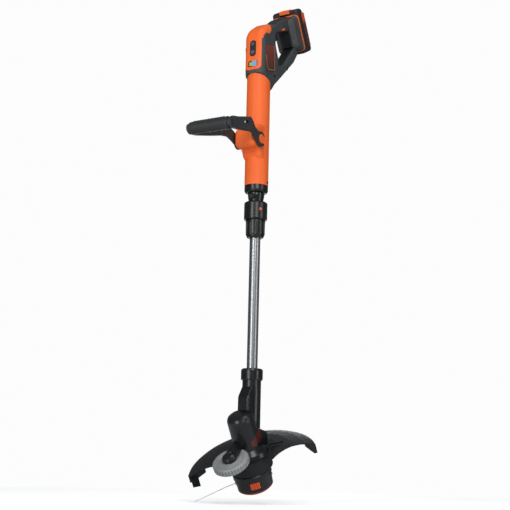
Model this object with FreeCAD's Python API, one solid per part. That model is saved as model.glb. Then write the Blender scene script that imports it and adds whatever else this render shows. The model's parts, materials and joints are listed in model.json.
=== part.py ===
"""Cordless string trimmer with a telescoping, swivelling shaft, one STEP file for each piece.

Millimetres. The origin is on the shaft's axis, at the shoulder under the upper housing. +Z runs up the
shaft to the rear handle, +X points away from the user and +Y to the user's left. The cutting head and
the battery are drawn square in frames of their own and then tilted into place.
"""
import FreeCAD, Part
import os
from math import cos, sin, pi, radians, sqrt, tan

V = FreeCAD.Vector
O = V(0, 0, 0)
AX, AY, AZ = V(1, 0, 0), V(0, 1, 0), V(0, 0, 1)

# Shaft
tube_r = 12.5
tube_wall = 1.2
tube_top = 12.0
tube_bottom = -472.0
travel = 150.0                 # how far the lower tube slides up into the housing

# Upper housing
housing_r = 28.3
housing_wall = 2.6
housing_bottom = 18.0
front_top = 293.0              # its slanted top edge, at the front
back_top = 266.0
boss_half = 26.0
boss_soft = 10.0
pivot = V(38, 0, 121)          # auxiliary handle's pivot

# Rear handle
body_half = 27.5
body_soft = 18.0
grip_half = 17.0
shell_wall = 3.0
panel_deep = 1.9
panel_half = 21.5
foot_at = V(-149, 0, 456.5)    # middle of the battery's face
foot_tilt = 30.0
foot_face = 1.4                # the foot ends here, and its trim fills up to the battery
foot_half_y = 37.0
foot_half_z = 46.0

# Battery
battery_deep = 42.0
battery_step = 30.0
battery_over = 13.0            # how far it stands past the foot's top
battery_under = 8.0            # and below its bottom
cell_r, cell_long, cells = 8.6, 57.0, 5

# Auxiliary handle
bar_x, bar_z, bar_half, bar_r = 210.0, 108.5, 58.0, 11.0
grip_wall = 3.4

# Swivel and clamp
neck_top_r, neck_low_r = 19.5, 17.0
guide_r = 15.0
clamp_r, clamp_top, clamp_low = 27.5, -22.0, -65.0
nut_r, nut_low, flutes = 22.6, -108.0, 12

# Cutting head: its own frame has a forward, b to the left and h up the motor's axis
head_at = V(4, 0, -603)
head_tilt = 31.0
motor_r = 31.0
motor_seam, motor_top = 60.0, 98.0
ring_top, ring_low, ring_r = -415.0, -441.5, 25.2
neck_r = 21.5
gear_module, gear_wide = 0.8, 6.0
pinion_teeth, wheel_teeth = 10, 16
spool_a = gear_module * (pinion_teeth + wheel_teeth) / 2     # spool axis, forward of the motor's
guard_r, guard_thick = 150.0, 3.0
skirt_r, skirt_low = 49.0, -36.0
drum_r, drum_top, drum_low = 45.0, -37.0, -50.0
cap_top_r, cap_low_r, cap_low = 43.0, 41.0, -84.0
wheel_at = V(80, 0, 19)
wheel_tilt = 8.0
wheel_r, wheel_half, axle_r = 41.5, 8.5, 5.0
line_d = 1.65
line_h = -62.0

gap = 0.4                      # between parts that move past each other
fit = 0.05                     # radial clearance of a running fit


# ---------------------------------------------------------------- helpers
def cyl(r, z0, z1, x=0.0, y=0.0):
    return Part.makeCylinder(r, z1 - z0, V(x, y, z0), AZ)


def cyl_y(r, y0, y1, x, z):
    return Part.makeCylinder(r, y1 - y0, V(x, y0, z), AY)


def cyl_x(r, x0, x1, y, z):
    return Part.makeCylinder(r, x1 - x0, V(x0, y, z), AX)


def ring(r_out, r_in, z0, z1, x=0.0, y=0.0):
    return cyl(r_out, z0, z1, x, y).cut(cyl(r_in, z0 - 1, z1 + 1, x, y))


def box(x0, x1, y0, y1, z0, z1):
    return Part.makeBox(x1 - x0, y1 - y0, z1 - z0, V(x0, y0, z0))


def turned(points, x=0.0, y=0.0):
    """Solid of revolution about the line X = x, Y = y from (radius, height) points."""
    wire = Part.makePolygon([V(x + r, y, z) for r, z in points + points[:1]])
    return Part.Face(wire).revolve(V(x, y, 0), AZ, 360)


def loop(points, place):
    """Closed outline with rounded corners: points are (p, q, corner radius), place makes a vector."""
    count = len(points)
    ends = []
    for i, (p, q, r) in enumerate(points):
        here = place(p, q)
        back = place(*points[i - 1][:2]) - here
        on = place(*points[(i + 1) % count][:2]) - here
        half = back.getAngle(on) / 2
        back.normalize()
        on.normalize()
        reach = r / tan(half) if r else 0.0
        middle = back + on
        middle.normalize()
        ends.append((here + back * reach, here + middle * (r / sin(half) - r), here + on * reach))
    edges = []
    for i, (first, bend, last) in enumerate(ends):
        if points[i][2]:
            edges.append(Part.Arc(first, bend, last).toShape())
        after = ends[(i + 1) % count][0]
        if last.distanceToPoint(after) > 1e-4:
            edges.append(Part.LineSegment(last, after).toShape())
    return Part.Wire(edges)


def side(p, q):
    return V(p, 0, q)


def slab(wire, half, soft=0.0, low=None):
    """Prism of a side outline from Y = -half to half, its two end loops rounded by soft."""
    low = -half if low is None else low
    base = Part.Face(wire)
    base.translate(V(0, low, 0))
    solid = base.extrude(V(0, half - low, 0))
    if soft:
        ends = [e for e in solid.Edges
                if all(abs(abs(v.Y) - half) < 1e-4 for v in e.Vertexes)
                and abs(e.Vertexes[0].Y - e.Vertexes[-1].Y) < 1e-4]
        solid = solid.makeFillet(soft, ends)
    return solid


def grown(wire, by):
    return wire.makeOffset2D(by, 0, False, False, True)


def halves(shape):
    """The left (+Y) and right (-Y) halves of a clamshell."""
    big = 1500
    left = shape.common(box(-big, big, 0, big, -big, big))
    right = shape.common(box(-big, big, -big, 0, -big, big))
    return left, right


def tilted(shape, degrees, at):
    placed = shape.copy()
    placed.rotate(O, AY, degrees)
    placed.translate(at)
    return placed


def head(shape):
    return tilted(shape, head_tilt, head_at)


def foot(shape):
    return tilted(shape, foot_tilt, foot_at)


def group(shapes):
    return Part.makeCompound(shapes)


def fused(shapes):
    return shapes[0].multiFuse(shapes[1:]).removeSplitter()


def gear(teeth, z0, z1, x, bore, turn):
    """Spur gear with trapezoid teeth, thinned a little for backlash."""
    m = gear_module
    r_tip = m * (teeth + 1.8) / 2
    r_root = m * (teeth - 2.5) / 2
    step = 2 * pi / teeth
    points = []
    for i in range(teeth):
        for share, r in ((-0.27, r_root), (-0.10, r_tip), (0.10, r_tip), (0.27, r_root)):
            a = turn + step * (i + share)
            points.append(V(x + r * cos(a), r * sin(a), z0))
    face = Part.Face(Part.makePolygon(points + points[:1]))
    solid = face.extrude(V(0, 0, z1 - z0))
    return solid.cut(cyl(bore, z0 - 1, z1 + 1, x)) if bore else solid


def screw_y(x, z, y_head, reach):
    """Pan-head screw along Y: y_head is the head's outer face, reach its length, signed."""
    way = 1 if reach > 0 else -1
    heads = Part.makeCylinder(3.4, 2.2, V(x, y_head, z), AY * way)
    shank = Part.makeCylinder(1.6, abs(reach), V(x, y_head, z), AY * way)
    slot = box(x - 2.4, x + 2.4, -0.35, 0.35, z - 0.35, z + 0.35)
    slot.translate(V(0, y_head + 0.3 * way, 0))
    return heads.fuse(shank).cut(slot)


nodes = {}


# ---------------------------------------------------------------- upper housing
def slant(z_more=0.0):
    """Everything above the housing's slanted top edge."""
    reach = 60
    slope = (front_top - back_top) / (2 * housing_r)
    middle = (front_top + back_top) / 2 + z_more
    outline = [V(-reach, -90, middle - slope * reach), V(reach, -90, middle + slope * reach),
               V(reach, -90, 700), V(-reach, -90, 700)]
    return Part.Face(Part.makePolygon(outline + outline[:1])).extrude(V(0, 180, 0))


boss_line = [(5, 70, 0), (27, 83, 16), (34, 100, 10), (66, 99, 13), (66, 142, 14), (40, 160, 24),
             (5, 168, 0)]
boss = slab(loop(boss_line, side), boss_half, boss_soft)
boss_room = slab(grown(loop(boss_line, side), -housing_wall), boss_half - housing_wall,
                 boss_soft - housing_wall)
outside = fused([cyl(housing_r, housing_bottom, 320), boss])
inside = fused([cyl(housing_r - housing_wall, housing_bottom - 1, 330), boss_room])
housing = outside.cut(slant()).cut(inside).cut(cyl_y(4.0, -40, 40, pivot.x, pivot.z))
housing_screws_at = [(-4.0, 25.5, 19.0), (-21.0, 240.0, 6.0)]     # x, z and where the screw ends
for sx, sz, y_end in housing_screws_at:
    y_seat = sqrt(housing_r ** 2 - sx ** 2) - 2.5
    housing = housing.cut(cyl_y(3.6, y_seat, 40, sx, sz)).cut(cyl_y(1.65, y_end - 1, 40, sx, sz))
nodes["upper_housing_left"], nodes["upper_housing_right"] = halves(housing)

end_cap = turned([(neck_top_r + gap, 0), (housing_r - 5.5, 0), (housing_r - 2.4, 1.6), (housing_r - 0.3, 6),
                  (housing_r - 0.3, 18), (25.6, 18), (25.6, 30), (23.4, 30), (23.4, 16),
                  (neck_top_r + gap, 16)])
end_cap = end_cap.cut(cyl_y(1.65, 15, 30, housing_screws_at[0][0], housing_screws_at[0][1]))
nodes["housing_end_cap"] = end_cap
nodes["swivel_bush"] = ring(housing_r - housing_wall, guide_r + fit, 150, 160)


# ---------------------------------------------------------------- rear handle shells
body_line = loop([(27, 262, 17), (31, 303, 30), (31, 400, 44), (-10, 431, 30), (-34, 434, 4),
                  (-42, 410, 8), (-45, 385, 10), (-62, 350, 8), (-52, 290, 8), (-29, 262, 3)], side)
grip_line = loop([(-8, 424, 3), (-34, 438, 12), (-69, 466, 20), (-124, 497, 4), (-138, 470, 4),
                  (-128, 451, 6), (-100, 443, 12), (-62, 424, 8), (-44, 398, 4), (-14, 398, 3)], side)
bar_line = loop([(-8, 246, 10), (-81, 312, 40), (-151, 378, 14), (-176, 414, 10), (-158, 446, 10),
                 (-146, 419, 8), (-130, 397, 14), (-100, 361, 10), (-80, 346, 8), (-50, 346, 8),
                 (-8, 300, 10)], side)


def foot_block(tiers):
    """The foot that carries the battery: terraces that narrow towards the hand, each a list of sections."""
    solids = []
    for tier in tiers:
        sections = []
        for x, hy, hz, z_mid in tier:
            corners = [(-hy, z_mid - hz, 11), (hy, z_mid - hz, 11), (hy, z_mid + hz, 11),
                       (-hy, z_mid + hz, 11)]
            sections.append(loop(corners, lambda p, q, x=x: V(x, p, q)))
        solids.append(Part.makeLoft(sections, True, True))
    return foot(fused(solids))


foot_outside = [[(foot_face, 36.2, 46, 0), (5, 35.2, 45, 0)], [(5, 32.4, 43, 0.5), (12, 30.6, 41.4, 0.5)],
                [(12, 28, 39.5, 1), (27, 18.5, 31, 2)]]
foot_inside = [[(foot_face + 1.2, 32, 42, 0), (5.2, 29, 39.6, 0.5), (12, 25, 36.4, 1), (24, 14.5, 26, 2)]]


def handle_solid(shrink):
    """Handle shape, drawn in by shrink."""
    body = slab(grown(body_line, -shrink) if shrink else body_line, body_half - shrink, body_soft - shrink)
    grip = slab(grown(grip_line, -shrink) if shrink else grip_line, grip_half - shrink, 11 - shrink)
    bar = slab(grown(bar_line, -shrink) if shrink else bar_line, grip_half + 1 - shrink, 8 - shrink)
    flare = Part.makeCone(housing_r - 25 - shrink, housing_r + 175 - shrink, 250,
                          V(0, 0, 255), AZ)
    body = body.common(flare.fuse(box(-80, 0, -30, 30, 240, 520)))
    return body, grip, bar, foot_block(foot_inside if shrink else foot_outside)


outer = handle_solid(0)
inner = handle_solid(shell_wall)
shell = fused(list(outer))
under_plane = box(-60, 60, -60, 60, 200, 340).cut(slant())
shell = shell.cut(under_plane.common(cyl(housing_r, 200, 340)))
shell = shell.cut(under_plane.common(box(-12, 60, -60, 60, 200, 340)))
shell = shell.cut(foot(box(-60, foot_face, -60, 60, -90, 90)))
for hollow in inner:
    shell = shell.cut(hollow)
shell = shell.cut(cyl(housing_r - housing_wall, 240, 300))

# the orange panel lies in a recess over the front and hooks over the top
panel_zone = loop([(70, 300, 0), (24, 300, 2), (24, 386, 10), (14, 398, 5), (2, 397, 7), (-7, 409, 9),
                   (-13, 432, 3), (-14, 480, 0), (70, 480, 0)], side)
zone = slab(panel_zone, 40)
skin = slab(grown(body_line, 0.5), body_half + 0.5, body_soft + 0.5)
core = slab(grown(body_line, -panel_deep), body_half - panel_deep, body_soft - panel_deep)
feed_z, slider_z = 355.0, 316.0


def front_slot(half_y, half_z, x0, x1, y_mid, z_mid, r):
    corners = [(y_mid - half_y, z_mid - half_z, r), (y_mid + half_y, z_mid - half_z, r),
               (y_mid + half_y, z_mid + half_z, r), (y_mid - half_y, z_mid + half_z, r)]
    return Part.Face(loop(corners, lambda p, q: V(x0, p, q))).extrude(V(x1 - x0, 0, 0))


panel_side = front_slot(panel_half, 51, 15, 70, 0, 352, 10).fuse(box(-40, 70, -40, 40, 380, 480))
panel = skin.cut(core).common(zone).common(panel_side)
shell = shell.cut(zone.common(panel_side).cut(core))
feed_hole = front_slot(8.4, 20.4, 10, 60, 0, feed_z, 8.3)
slider_hole = front_slot(13, 7.5, 10, 60, 0, slider_z, 3)
panel = panel.cut(feed_hole).cut(slider_hole)
nodes["front_panel"] = panel
shell = shell.cut(feed_hole).cut(slider_hole)
nodes["feed_button"] = front_slot(8.0, 20.0, 25.8, 32.4, 0, feed_z, 7.9).fuse(
    front_slot(10.4, 22.4, 25.8, 27.4, 0, feed_z, 7))
slider_stem = box(22, 28.6, 2.6, 6.6, slider_z - 6.8, slider_z - 4.2)
nodes["speed_slider"] = front_slot(6.3, 7.0, 28.2, 32.2, 4.6, slider_z, 1.5).fuse(slider_stem).cut(
    fused([box(31.4, 34, y - 0.5, y + 0.5, slider_z - 5.5, slider_z + 5.5) for y in (2.2, 4.6, 7.0)]))

# trigger, its slot in the grip and the lock-off button's hole
trigger_pin = V(-46, 0, 428)
trigger_line = loop([(-42, 433, 3), (-50, 434, 3), (-70, 440, 4), (-76, 434, 4), (-84, 419, 5),
                     (-66, 405, 10), (-52, 401, 6), (-46, 408, 8), (-41, 424, 3)], side)
trigger = slab(trigger_line, 7.5, 2.5).cut(cyl_y(2.0 + fit, -20, 20, trigger_pin.x, trigger_pin.z))
nodes["trigger"] = trigger
shell = shell.cut(box(-90, -40.0, -8.1, 8.1, 396, 438))
pin_post = cyl_y(2.0, -grip_half + 1, grip_half - 1, trigger_pin.x, trigger_pin.z)
shell = shell.fuse(pin_post)
lock_at = V(-88, 0, 445)


def lock_bar(grow, y_far):
    corners = [(-7 - grow, -2.4 - grow, 2), (7 + grow, -2.4 - grow, 2), (7 + grow, 2.4 + grow, 2),
               (-7 - grow, 2.4 + grow, 2)]
    bar = Part.Face(loop(corners, lambda p, q: V(p, -y_far, q))).extrude(V(0, 2 * y_far, 0))
    bar.rotate(O, AY, foot_tilt)
    bar.translate(lock_at)
    return bar


shell = shell.cut(lock_bar(gap, 30))
nodes["lock_off_button"] = lock_bar(0, grip_half + 1.6)

# battery channel in the foot
channel = foot(box(-1, 10.4, -21.4, 21.4, -38, 60))
shell = shell.cut(channel)

handle_screws_at = [(-30, 300, body_half), (-112, 350, grip_half + 1)]
screws = []
for sx, sz, y_out in handle_screws_at:
    shell = shell.fuse(cyl_y(5.0, 1 - y_out, y_out - 1, sx, sz))
    shell = shell.cut(cyl_y(3.7, y_out - 3.0, 40, sx, sz)).cut(cyl_y(1.6, y_out - 22, 40, sx, sz))
    screws.append(screw_y(sx, sz, y_out - 0.8, -18))
for sx, sz, y_end in housing_screws_at:
    y_out = sqrt(housing_r ** 2 - sx ** 2)
    screws.append(screw_y(sx, sz, y_out - 0.2, y_end - (y_out - 0.2)))
nodes["handle_screws"] = group(screws)
nodes["handle_shell_left"], nodes["handle_shell_right"] = halves(shell)

trim_out = loop([(-37.4, -47.2, 11.5), (37.4, -47.2, 11.5), (37.4, 47.2, 11.5), (-37.4, 47.2, 11.5)],
                lambda p, q: V(-2.4, p, q))
trim_in = loop([(-32, -41, 6), (32, -41, 6), (32, 41, 6), (-32, 41, 6)], lambda p, q: V(-2.4, p, q))
trim_deep = V(foot_face + 2.2, 0, 0)
trim = Part.Face(trim_out).extrude(trim_deep).cut(Part.Face(trim_in).extrude(trim_deep))
nodes["foot_trim"] = foot(trim.cut(box(-5, 5, -21.4, 21.4, 0, 60)))

label_line = loop([(15, 311, 2), (15, 366, 2), (-27, 377, 2), (-25, 312, 2), (6, 303, 3)], side)
nodes["side_labels"] = group([slab(label_line, body_half + 0.5, 0, body_half),
                              slab(label_line, -body_half, 0, -body_half - 0.5)])

nodes["control_board"] = group([box(-20, -18.4, -20, 20, 300, 390), box(-18.4, -8, -14, 14, 312, 340),
                                cyl_x(5, -18.4, -4, -8, 372), cyl_x(5, -18.4, -4, 8, 372)])
switch = box(-10, 10, -6.5, 6.5, -4.5, 4.5).fuse(cyl(1.5, -5.4, -4.5, -4))
nodes["trigger_switch"] = tilted(switch, foot_tilt, V(-68, 0, 453))
coil = turned([(2.2, 0), (3.2, 0), (3.2, 7.0), (2.2, 7.0)])
nodes["trigger_spring"] = tilted(coil, foot_tilt, V(-52.5, 0, 437.4))
block = box(0.5, 9.5, -16, 16, -37.8, -22).cut(fused([box(-1, 6, y - 1.5, y + 1.5, -34, -20)
                                                      for y in (-10, 0, 10)]))
nodes["terminal_block"] = foot(block)


# ---------------------------------------------------------------- battery
def battery_outline(shrink, x0, x1, top):
    hy = foot_half_y - 1 - shrink
    low = -foot_half_z - battery_under + shrink
    corners = [(-hy, low, 9), (hy, low, 9),
               (hy, top - shrink, 9), (-hy, top - shrink, 9)]
    return Part.Face(loop(corners, lambda p, q: V(x0, p, q))).extrude(V(x1 - x0, 0, 0))


seam = -22.0
high = foot_half_z + battery_over
cover = battery_outline(0, seam, -2.8, high)
cover = cover.makeFillet(3.0, [e for e in cover.Edges if all(abs(v.X + 2.8) < 1e-4 for v in e.Vertexes)])
cover = cover.cut(battery_outline(2.2, seam - 1, -5.2, high))
tower = fused([box(-2.8, 10.0, -17, 17, -18, 44), box(4.0, 10.0, -21, 21, -18, 44),
               box(-2.8, 10.0, -14, 14, -20, -18)])
tower = tower.cut(box(-6, 8, -14, 14, -16, 40)).cut(
    fused([box(2, 12, y - 1.6, y + 1.6, -21, -14) for y in (-10, 0, 10)]))
cover = fused([cover, tower])
case = battery_outline(0, -battery_step, seam, high).fuse(
    battery_outline(0, -battery_deep, -battery_step, foot_half_z + 3))
case = case.makeFillet(4.0, [e for e in case.Edges
                             if all(abs(v.X + battery_deep) < 1e-4 for v in e.Vertexes)])
case = case.cut(battery_outline(2.2, -battery_deep + 2.4, seam + 1, foot_half_z + 3))
latch_pocket = box(-20.9, -2.8, -16, 16, high - 13.6, high - 1)
latch_room = box(-19.4, 0, -14.4, 14.4, high - 12, high + 5)
cover = cover.fuse(latch_pocket).cut(latch_room)
nodes["battery_cover"] = foot(cover)
nodes["battery_case"] = foot(case)
latch = box(-19.0, -1.9, -14, 14, high - 7, high + 2.4)
latch = latch.makeFillet(2.0, [e for e in latch.Edges
                               if all(abs(v.Z - high - 2.4) < 1e-4 for v in e.Vertexes)])
nodes["battery_latch"] = foot(latch)
packs = []
for i in range(cells):
    z = (i - (cells - 1) / 2) * (2 * cell_r + 0.3)
    packs.append(Part.makeCylinder(cell_r, cell_long, V(-29.5, -cell_long / 2, z), AY))
nodes["battery_cells"] = foot(group(packs))
studs = []
for y in (-29, 29):
    for z in (-38, 40):
        hole = Part.makeCylinder(2.6, 1.6, V(-battery_deep, y, z), AX)
        nodes["battery_case"] = nodes["battery_case"].cut(foot(hole))
        studs.append(Part.makeCylinder(2.6, 1.4, V(-battery_deep + 0.2, y, z), AX).cut(
            Part.makeCylinder(1.0, 0.8, V(-battery_deep, y, z), AX)))
nodes["battery_screws"] = foot(group(studs))


# ---------------------------------------------------------------- auxiliary handle
def arm_section(x, y, z, tall, thick, turn):
    """Rounded upright section of an arm at (x, y, z), turned about Z by turn degrees."""
    corners = [(-thick / 2, -tall / 2, 3), (thick / 2, -tall / 2, 3), (thick / 2, tall / 2, 3),
               (-thick / 2, tall / 2, 3)]
    wire = loop(corners, lambda p, q: V(0, p, q))
    wire.rotate(O, AZ, turn)
    wire.translate(V(x, y, z))
    return wire


fork_in = boss_half + 0.5
fork_out = fork_in + 6.6
fork_r = 18.0
fork_y = (fork_in + fork_out) / 2
arm_stations = [(bar_x - 2, 54.0, 110, 28, 12, 0), (184, 52.5, 114.5, 30, 11, 8),
                (140, 44.5, 127, 34, 9, 14), (102, 37.6, 138, 35, 8, 12), (84, 33.6, 137.5, 31, 7, 6),
                (70, fork_y + 0.8, 130, 28, 6.7, 3), (54, fork_y + 0.2, 124, 29, 6, 0),
                (44, fork_y + 0.2, 121.5, 30, 6, 0)]
arm = Part.makeLoft([arm_section(*s) for s in arm_stations], True, True)
arm = arm.fuse(cyl_y(fork_r, fork_in, fork_out, pivot.x, pivot.z))
mouth = box(pivot.x - fork_r - 5, pivot.x - 6, fork_in - 1, fork_out + 1, pivot.z - 9.5, pivot.z + 9.5)
arm = arm.cut(mouth)
window = slab(loop([(119, 131, 2), (152, 127.5, 1), (119, 142, 2)], side), 60, 0, 30)
arm = arm.cut(window)
bar = cyl_y(bar_r, -bar_half, bar_half, bar_x, bar_z)
aux_frame = fused([arm, arm.mirror(O, AY), bar])
knob_room = cyl_y(11.4, fork_in + 3, 40, pivot.x, pivot.z)
aux_frame = aux_frame.cut(knob_room).cut(knob_room.mirror(O, AY))
nodes["aux_handle_frame"] = aux_frame.cut(cyl_y(4.0 + fit, -60, 60, pivot.x, pivot.z))
nodes["aux_grip"] = cyl_y(bar_r + grip_wall, -47, 47, bar_x, bar_z).cut(
    cyl_y(bar_r, -60, 60, bar_x, bar_z))
bolt_end = fork_in + 2.8
nodes["aux_pivot_bolt"] = group([cyl_y(4.0, 19, bolt_end, pivot.x, pivot.z),
                                 cyl_y(4.0, -bolt_end - 0.6, -19, pivot.x, pivot.z).fuse(
                                     cyl_y(9.5, -bolt_end - 4, -bolt_end - 0.6, pivot.x, pivot.z))])
lock_knob = cyl_y(11.0, fork_in + 5.2, fork_out + 2.4, pivot.x, pivot.z)
nodes["aux_lock_button"] = lock_knob.makeFillet(1.8, [e for e in lock_knob.Edges
                                                     if abs(e.CenterOfMass.y - fork_out - 2.4) < 1e-3])


# ---------------------------------------------------------------- swivel and clamp
neck = turned([(guide_r, 20), (guide_r, -20), (tube_r + gap, -20), (tube_r + gap, -30), (neck_low_r, -30),
               (neck_low_r, -21), (neck_top_r, -6), (neck_top_r, 16.4), (23.0, 16.4), (23.0, 20)])
button_z = -9.5
neck = neck.fuse(cyl_x(7.2, 16, 20.6, 0, button_z)).cut(cyl(guide_r, -20, 25))
neck = neck.cut(cyl_x(5.4, 15.2, 30, 0, button_z))
nodes["neck_sleeve"] = neck
nodes["guide_tube"] = ring(guide_r, tube_r + fit * 2, -20, 190)
nodes["swivel_button"] = cyl_x(5.0, 17.6, 21.8, 0, button_z)
clamp = turned([(neck_low_r, clamp_top), (24.5, clamp_top), (26.8, clamp_top - 1.6), (clamp_r, clamp_top - 4),
                (clamp_r, clamp_low + 3), (clamp_r - 1.2, clamp_low), (18.0, clamp_low), (18.0, -86),
                (15.2, -86), (15.2, -70), (tube_r + gap, -64), (tube_r + gap, -30), (neck_low_r, -30)])
for z in (-37, -47):
    clamp = clamp.cut(ring(clamp_r + 1, clamp_r - 0.7, z - 0.8, z + 0.8))
nodes["clamp_body"] = clamp
collet = turned([(tube_r + fit, -70.4), (14.8, -70.4), (14.8, -87), (16.6, -90), (14.4, -103),
                 (tube_r + fit, -103)])
for i in range(4):
    slit = box(10, 20, -0.6, 0.6, -104, -76)
    slit.rotate(O, AZ, 45 + 90 * i)
    collet = collet.cut(slit)
nodes["clamp_collet"] = collet
nut = turned([(18.4, clamp_low - 0.5), (nut_r, clamp_low - 0.5), (nut_r + 0.4, clamp_low - 3), (nut_r, -99),
              (nut_r - 3, -106.4), (nut_r - 5, nut_low), (tube_r + 0.8, nut_low), (tube_r + 0.8, -103.6),
              (14.9, -103.6), (17.2, -89.6), (18.4, -87)])
for i in range(flutes):
    groove = cyl(3.4, -104, clamp_low - 6, nut_r + 1.9)
    groove.rotate(O, AZ, 360 / flutes * i)
    nut = nut.cut(groove)
nodes["clamp_nut"] = nut


# ---------------------------------------------------------------- lower tube
nodes["lower_tube"] = ring(tube_r, tube_r - tube_wall, tube_bottom, tube_top)
nodes["coiled_lead"] = cyl(7.5, -455, 4)


# ---------------------------------------------------------------- cutting head housing
def sloped(points, place, deep):
    return Part.Face(loop(points, place)).extrude(deep)


neck_tube = cyl(neck_r, -566, ring_top - 5)
duct_line = loop([(0, -452, 2), (19, -454, 10), (38, -480, 18), (38.5, -522, 10), (52, -540, 6),
                  (30, -590, 4), (-14, -586, 4), (-18, -540, 4)], side)
duct = slab(duct_line, 15, 5)
motor_body = head(cyl(motor_r, -3, motor_seam))
cheek_line = loop([(-40, -2, 4), (10, -2, 4), (10, 52, 10), (-8, 60, 10), (-50, 26, 8)], side)
cheeks = head(slab(cheek_line, motor_r, 6))
hub = head(turned([(0, -4), (skirt_r - 5, -4), (skirt_r - 9, 4), (motor_r, 14), (0, 14)]))
head_solid = fused([neck_tube, duct, motor_body, cheeks, hub])
head_solid = head_solid.cut(head(box(-200, 200, -200, 200, -80, -4)))
head_solid = head_solid.cut(head(cyl(motor_r + 40, motor_seam, 200)).cut(neck_tube).cut(duct))
room = [cyl(tube_r, tube_bottom, ring_top + 5), cyl(neck_r - 3.5, -560, tube_bottom),
        slab(grown(duct_line, -3), 12), head(cyl(motor_r - 3, 14, motor_seam + 1)),
        head(cyl(23, -5, 14.5, 4))]
for hollow in room:
    head_solid = head_solid.cut(hollow)
cover_room = head(turned([(0, motor_seam), (motor_r, motor_seam), (motor_r, 82), (30, 87.5), (27, 92.5),
                          (21.5, 96.2), (14, motor_top - 0.4), (0, motor_top)]))
head_solid = head_solid.cut(cover_room)
nodes["motor_cover"] = cover_room.cut(head(turned([(0, motor_seam - 1), (motor_r - 3, motor_seam - 1),
                                                   (motor_r - 3, 78), (26, 85), (18, 88.5), (0, 88.5)])))
insert_line = loop([(-20, 54, 3), (-17, 27, 3), (18, 21, 3), (21, 35, 5)], side)
thin = 1.5
insert_skin = cyl(motor_r, 0, motor_seam - 1).fuse(slab(cheek_line, motor_r, 6)).cut(
    cyl(motor_r - thin, 0, motor_seam)).cut(box(-60, 0, thin - motor_r, motor_r - thin, 0, 90))
insert = head(insert_skin.common(slab(insert_line, 40).cut(box(-60, 60, -20, 20, 0, 90))))
head_solid = head_solid.cut(insert)
nodes["side_inserts"] = group(insert.Solids)
nodes["head_housing_left"], nodes["head_housing_right"] = halves(head_solid)
nodes["head_cap_ring"] = turned([(tube_r, ring_top), (ring_r - 3.4, ring_top), (ring_r - 1, ring_top - 1.4),
                                 (ring_r, ring_top - 5), (ring_r, ring_low + 2), (ring_r - 1.2, ring_low),
                                 (neck_r, ring_low), (neck_r, ring_top - 5), (tube_r, ring_top - 5)])

# motor and its gears
can = ring(18.5, 16.5, 21, 76).fuse(ring(17, 3.2, 21, 22.6)).fuse(ring(17, 3.2, 74.4, 76))
nodes["motor_can"] = head(can.fuse(ring(motor_r - 3, 18.5, 56, 59.5)))
rotor = fused([cyl(1.6, 2, 80), cyl(12, 32, 66), cyl(5, 67, 73),
               gear(pinion_teeth, 4, 6 + gear_wide, 0, 0, 0)])
nodes["motor_rotor"] = head(rotor)
plate = cyl(motor_r - 3, 14.6, 20.9).cut(cyl(5.4, 14, 22)).cut(cyl(4 + fit, 14, 17.6, spool_a))
nodes["gear_plate"] = head(plate)


# ---------------------------------------------------------------- guard and line cutter
def at(r, degrees):
    a = radians(degrees)
    return V(r * cos(a), r * sin(a), 0)


dome = [(skirt_r - 3, -4.2), (70, -4.6), (96, -7), (120, -12.5), (138, -20), (guard_r, -28)]
under = [(r - 1.2, h - guard_thick) for r, h in reversed(dome[1:])]
blanket = turned(dome + under + [(skirt_r - 3, -4.2 - guard_thick)])
right_tip, left_tip = 123.0, 297.0
plan = Part.Wire([
    Part.Arc(at(guard_r + 2, right_tip), at(guard_r + 2, 211), at(guard_r + 2, left_tip)).toShape(),
    Part.Arc(at(guard_r + 2, left_tip), at(92, 306), at(skirt_r - 2, 345)).toShape(),
    Part.Arc(at(skirt_r - 2, 345), at(skirt_r - 2, 15), at(skirt_r - 2, 48)).toShape(),
    Part.LineSegment(at(skirt_r - 2, 48), at(70, 76)).toShape(),
    Part.Arc(at(70, 76), at(80, 108), at(guard_r + 2, right_tip)).toShape()])
plan_face = Part.Face(plan)
plan_face.translate(V(0, 0, -80))
guard = blanket.common(plan_face.extrude(V(0, 0, 100)))
skirt_a = spool_a / 2
skirt = ring(skirt_r, skirt_r - 3, skirt_low, -4.2, skirt_a)
skirt = skirt.fuse(ring(skirt_r, 27, -7.2, -4.2, skirt_a))


def tip_wall(degrees, r0, r1, low_in, low_out):
    """Wall that hangs from a wing's end, from r0 to r1, deeper at one side."""
    points = [V(r0, 0, -16), V(r1, 0, -26.5), V(r1, 0, low_out), V(r1 - 7, 0, low_out), V(r0, 0, low_in)]
    wall = Part.Face(Part.makePolygon(points + points[:1])).extrude(V(0, guard_thick, 0))
    wall.rotate(O, AZ, degrees)
    return wall


right_wall = tip_wall(right_tip, 126, guard_r, -24, -47)
left_wall = tip_wall(left_tip - 2.2, 108, guard_r, -27, -45)
ribs = []
for degrees, reach in ((112, 60), (125, 72), (138, 84)):
    rib = box(skirt_r + 1, reach, -1.5, 1.5, -7, 1.0)
    rib = rib.common(turned([(0, 1), (50, 1), (reach, -4.6), (reach, -9), (0, -9)]))
    rib.rotate(O, AZ, degrees)
    ribs.append(rib)
guard = fused([guard, skirt, right_wall, left_wall] + ribs)
guard = guard.cut(cyl(24, -20, 0, 4))
cutter = box(128, 146, guard_thick, guard_thick + 1.2, -58, -29)
cutter.rotate(O, AZ, left_tip - 2.2)
nodes["line_cutter"] = head(cutter)
nodes["guard"] = head(guard)
bolts = []
for degrees in (150, 210, 270):
    p = at(39, degrees)
    p.x += skirt_a
    bolts.append(cyl(1.8, -14, -7.2, p.x, p.y).fuse(cyl(3.4, -9.6, -7.2, p.x, p.y)))
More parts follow.
